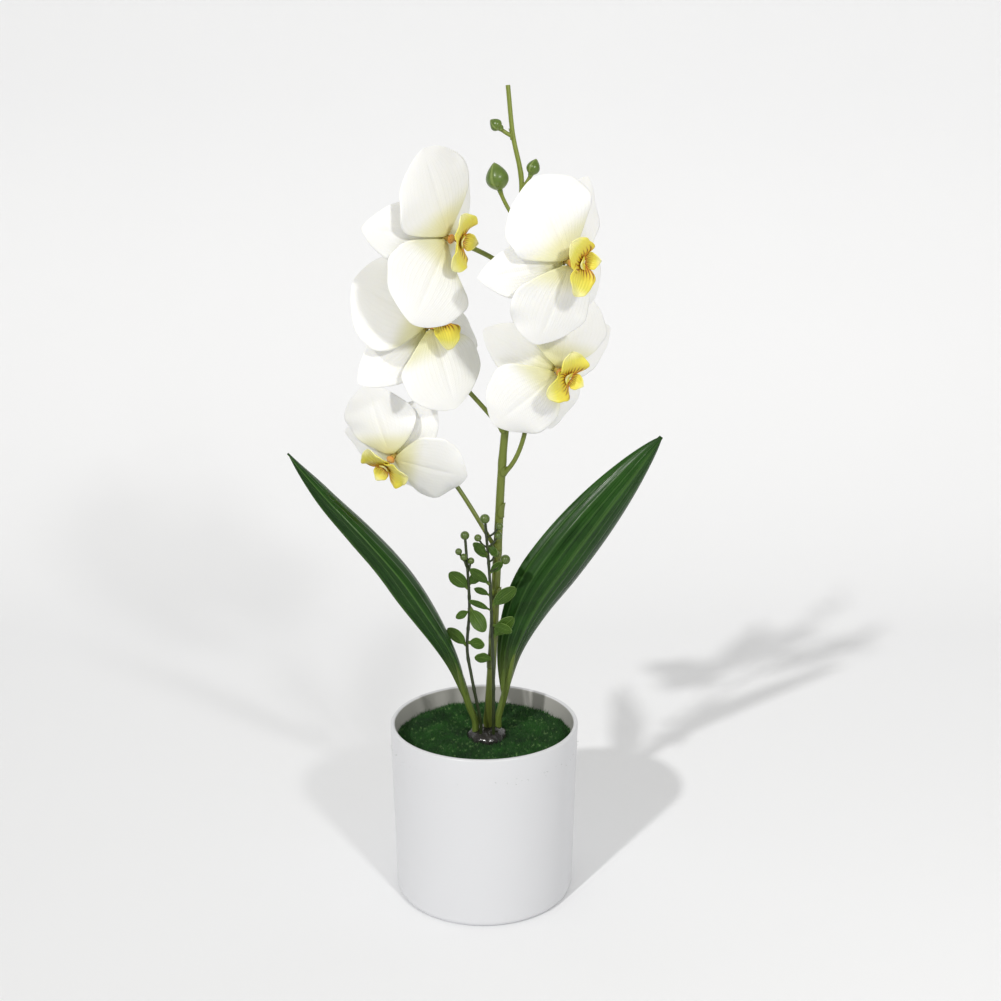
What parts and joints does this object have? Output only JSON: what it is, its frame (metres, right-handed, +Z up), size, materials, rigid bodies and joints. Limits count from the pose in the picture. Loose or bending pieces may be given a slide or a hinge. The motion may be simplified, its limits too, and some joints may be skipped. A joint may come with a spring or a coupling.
{
  "type": "potted orchid",
  "caption": "Artificial white orchid with an arching stem, buds, strap leaves and filler sprigs, set through moss into a plain round pot.",
  "frame": {"origin": "centre of the pot's flat underside, on the surface it stands on", "axes": "+Z up along the pot's axis, -Y towards the viewer's side that the flowers face, +X to that viewer's right"},
  "size_m": [0.1902, 0.1207, 0.4166],
  "materials": {
    "pot": "satin",
    "foam": "matte",
    "moss": "matte",
    "plug": "gloss",
    "stem": "satin",
    "bud": "satin",
    "petal": "matte",
    "lip": "satin",
    "column": "satin",
    "leaf": "satin",
    "sprig": "satin"
  },
  "bodies": {
    "root": {"pot": "pot", "foam_filler": "foam", "moss_disc": "moss", "stem_plug": "plug", "flower_stem": "stem", "flower_a_stalk": "stem", "flower_a_petal_left": "petal", "flower_a_petal_right": "petal", "flower_a_sepal_top": "petal", "flower_a_sepal_left": "petal", "flower_a_sepal_right": "petal", "flower_a_lip": "lip", "flower_a_column": "column", "flower_b_stalk": "stem", "flower_b_petal_left": "petal", "flower_b_petal_right": "petal", "flower_b_sepal_top": "petal", "flower_b_sepal_left": "petal", "flower_b_sepal_right": "petal", "flower_b_lip": "lip", "flower_b_column": "column", "flower_c_stalk": "stem", "flower_c_petal_left": "petal", "flower_c_petal_right": "petal", "flower_c_sepal_top": "petal", "flower_c_sepal_left": "petal", "flower_c_sepal_right": "petal", "flower_c_lip": "lip", "flower_c_column": "column", "flower_d_stalk": "stem", "flower_d_petal_left": "petal", "flower_d_petal_right": "petal", "flower_d_sepal_top": "petal", "flower_d_sepal_left": "petal", "flower_d_sepal_right": "petal", "flower_d_lip": "lip", "flower_d_column": "column", "flower_e_stalk": "stem", "flower_e_petal_left": "petal", "flower_e_petal_right": "petal", "flower_e_sepal_top": "petal", "flower_e_sepal_left": "petal", "flower_e_sepal_right": "petal", "flower_e_lip": "lip", "flower_e_column": "column", "bud_large": "bud", "bud_right": "bud", "bud_small": "bud", "leaf_left": "leaf", "leaf_right": "leaf", "sprig_left": "sprig", "sprig_right": "sprig"}
  },
  "joints": []
}
